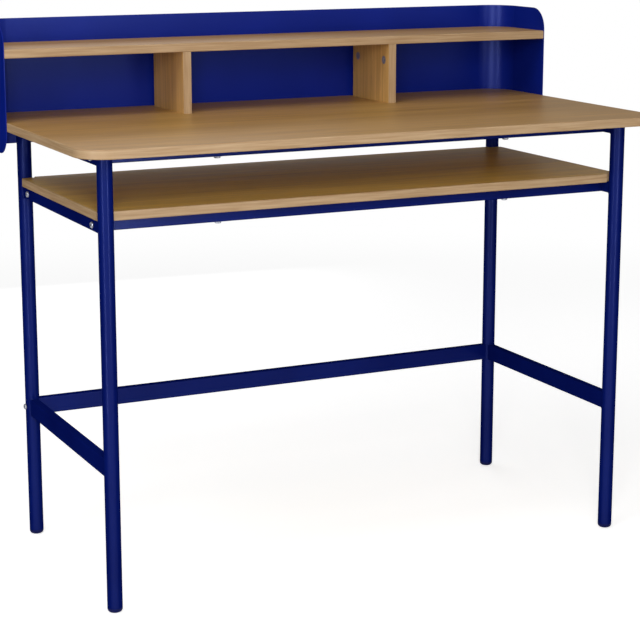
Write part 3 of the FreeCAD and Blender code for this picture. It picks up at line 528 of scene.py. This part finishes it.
add_node(tree, "ShaderNodeOutputMaterial", values={"Surface": surface.outputs[0]})
floor_mesh.materials.append(paper)

# Studio light.
# A large soft box beside the camera, smaller ones round the front, broad ones overhead and low ones behind
# and at both ends, in a pale room that is white to the eye, dimmer in the desk's gloss and a faint fill.
ROOM_WHITE = "#FFFFFF"
ROOM_STRENGTH = 0.15
ROOM_IN_GLOSS = 0.4


# One lamp: its place and what it faces, its width and height, all in metres, and its power in watts.
def soft_box(name, place, target, width, height, power):
    lamp = bpy.data.lights.new(name, "AREA")
    lamp.shape = "RECTANGLE"
    lamp.size = width
    lamp.size_y = height
    lamp.energy = power
    holder = bpy.data.objects.new(name, lamp)
    holder.location = place
    aim = [t - p for t, p in zip(target, place)]
    flat = math.hypot(aim[0], aim[1])
    holder.rotation_euler = (math.atan2(flat, -aim[2]), 0.0, math.atan2(-aim[0], aim[1]))
    bpy.context.scene.collection.objects.link(holder)
    return holder


soft_box("key_soft_box", (-1.5, -3.0, 1.35), (0.0, 0.0, 0.7), 1.0, 1.5, 50.0)
soft_box("front_soft_box", (0.5, -3.0, 0.8), (0.0, 0.0, 0.7), 0.5, 1.4, 7.5)
soft_box("front_top_soft_box", (-0.6, -2.6, 2.2), (0.0, 0.0, 0.7), 1.2, 0.8, 14.0)
soft_box("top_left_soft_box", (-1.2, -0.6, 2.6), (-0.2, 0.0, 0.7), 1.4, 1.4, 21.0)
soft_box("top_soft_box", (-0.3, -0.2, 2.9), (0.0, 0.0, 0.7), 2.4, 1.8, 4.0)
soft_box("rear_soft_box", (0.0, 2.0, 1.9), (0.0, 0.0, 0.8), 2.0, 0.8, 8.0)
soft_box("rear_low_soft_box", (0.2, 2.4, 0.35), (0.0, 0.28, 0.75), 1.6, 0.5, 6.0)
soft_box("right_low_soft_box", (2.5, 0.5, 0.35), (0.5, 0.0, 0.65), 1.4, 0.5, 6.0)
left_low = soft_box("left_low_soft_box", (-2.5, 0.3, 0.35), (-0.5, 0.0, 0.6), 1.4, 0.5, 4.0)
left_low.visible_glossy = False
# Upright strips that the round legs and the bends mirror as streaks. They add shine and no light.
for strip in (soft_box("front_strip_box", (0.15, -2.2, 0.26), (0.0, 0.0, 0.26), 0.12, 0.48, 3.5),
              soft_box("left_strip_box", (-1.3, -0.78, 0.8), (0.0, 0.0, 0.8), 0.06, 1.56, 6.0),
              soft_box("left_high_strip_box", (-1.3, -0.78, 1.2), (0.0, 0.0, 1.2), 0.1, 0.8, 10.0)):
    strip.visible_diffuse = False

room = bpy.data.worlds.new("pale_room")
room.use_nodes = True
tree = room.node_tree
tree.nodes.clear()
rays = add_node(tree, "ShaderNodeLightPath")
mirror_rays = add_node(tree, "ShaderNodeMath", {"operation": "MAXIMUM"}, {
    0: rays.outputs["Is Glossy Ray"], 1: rays.outputs["Is Transmission Ray"]})
fill = add_node(tree, "ShaderNodeMapRange", values={
    "Value": mirror_rays.outputs["Value"], "To Min": ROOM_STRENGTH, "To Max": ROOM_IN_GLOSS})
brightness = add_node(tree, "ShaderNodeMath", {"operation": "MAXIMUM"}, {
    0: rays.outputs["Is Camera Ray"], 1: fill.outputs["Result"]})
walls = add_node(tree, "ShaderNodeBackground", values={
    "Color": linear(ROOM_WHITE), "Strength": brightness.outputs["Value"]})
add_node(tree, "ShaderNodeOutputWorld", values={"Surface": walls.outputs["Background"]})
bpy.context.scene.world = room

# Camera.
# In front of the desk's left end, tilted down a little, with its lens shifted down so that upright lines stay
# nearer upright. More shift would match the legs better and push the desk out of the frame in other views.
IMAGE_PIXELS = 640
FOCAL_PIXELS = 1836.6
LENS_SHIFT = -0.045
CAMERA_YAW = math.radians(25.834)
CAMERA_TILT = math.radians(11.977)
CAMERA_PLACE = (-1.3979, -2.8820, 1.1246)
SENSOR_WIDTH = 36.0
eye = bpy.data.cameras.new("photo_camera")
eye.sensor_fit = "HORIZONTAL"
eye.sensor_width = SENSOR_WIDTH
eye.lens = FOCAL_PIXELS * SENSOR_WIDTH / IMAGE_PIXELS
eye.shift_y = LENS_SHIFT
camera = bpy.data.objects.new("photo_camera", eye)
camera.location = CAMERA_PLACE
camera.rotation_euler = (math.pi / 2 - CAMERA_TILT, 0.0, -CAMERA_YAW)
bpy.context.scene.collection.objects.link(camera)
bpy.context.scene.camera = camera
bpy.context.scene.view_settings.view_transform = "Standard"
